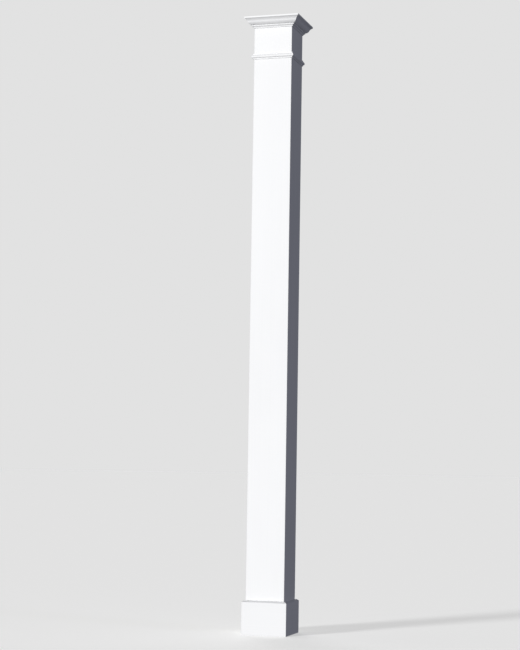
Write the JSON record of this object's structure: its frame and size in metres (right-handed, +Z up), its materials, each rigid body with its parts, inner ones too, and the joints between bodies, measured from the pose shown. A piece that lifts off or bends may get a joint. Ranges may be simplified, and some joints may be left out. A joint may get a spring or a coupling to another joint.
{
  "type": "square pvc column",
  "caption": "Tall hollow square column cover with a chamfered base, plain shaft, beaded neck moulding and flared crown moulding, mitred at the corners and open at both ends.",
  "frame": {"origin": "centre of the underside, on the floor that the column stands on", "axes": "+Z up along the column's axis, -Y out of its front face, +X to the right of the front"},
  "size_m": [0.224, 0.224, 2.438],
  "materials": {
    "pvc_sheet": "smooth satin white cellular PVC sheet",
    "pvc_board": "smooth satin white cellular PVC trim board",
    "pvc_moulding": "extruded satin white cellular PVC moulding"
  },
  "bodies": {
    "root": {"shaft_panel_front": "pvc_sheet", "shaft_panel_right": "pvc_sheet", "shaft_panel_back": "pvc_sheet", "shaft_panel_left": "pvc_sheet", "base_board_front": "pvc_board", "base_board_right": "pvc_board", "base_board_back": "pvc_board", "base_board_left": "pvc_board", "crown_moulding_front": "pvc_moulding", "crown_moulding_right": "pvc_moulding", "crown_moulding_back": "pvc_moulding", "crown_moulding_left": "pvc_moulding", "neck_moulding_front": "pvc_moulding", "neck_moulding_right": "pvc_moulding", "neck_moulding_back": "pvc_moulding", "neck_moulding_left": "pvc_moulding"}
  },
  "joints": []
}
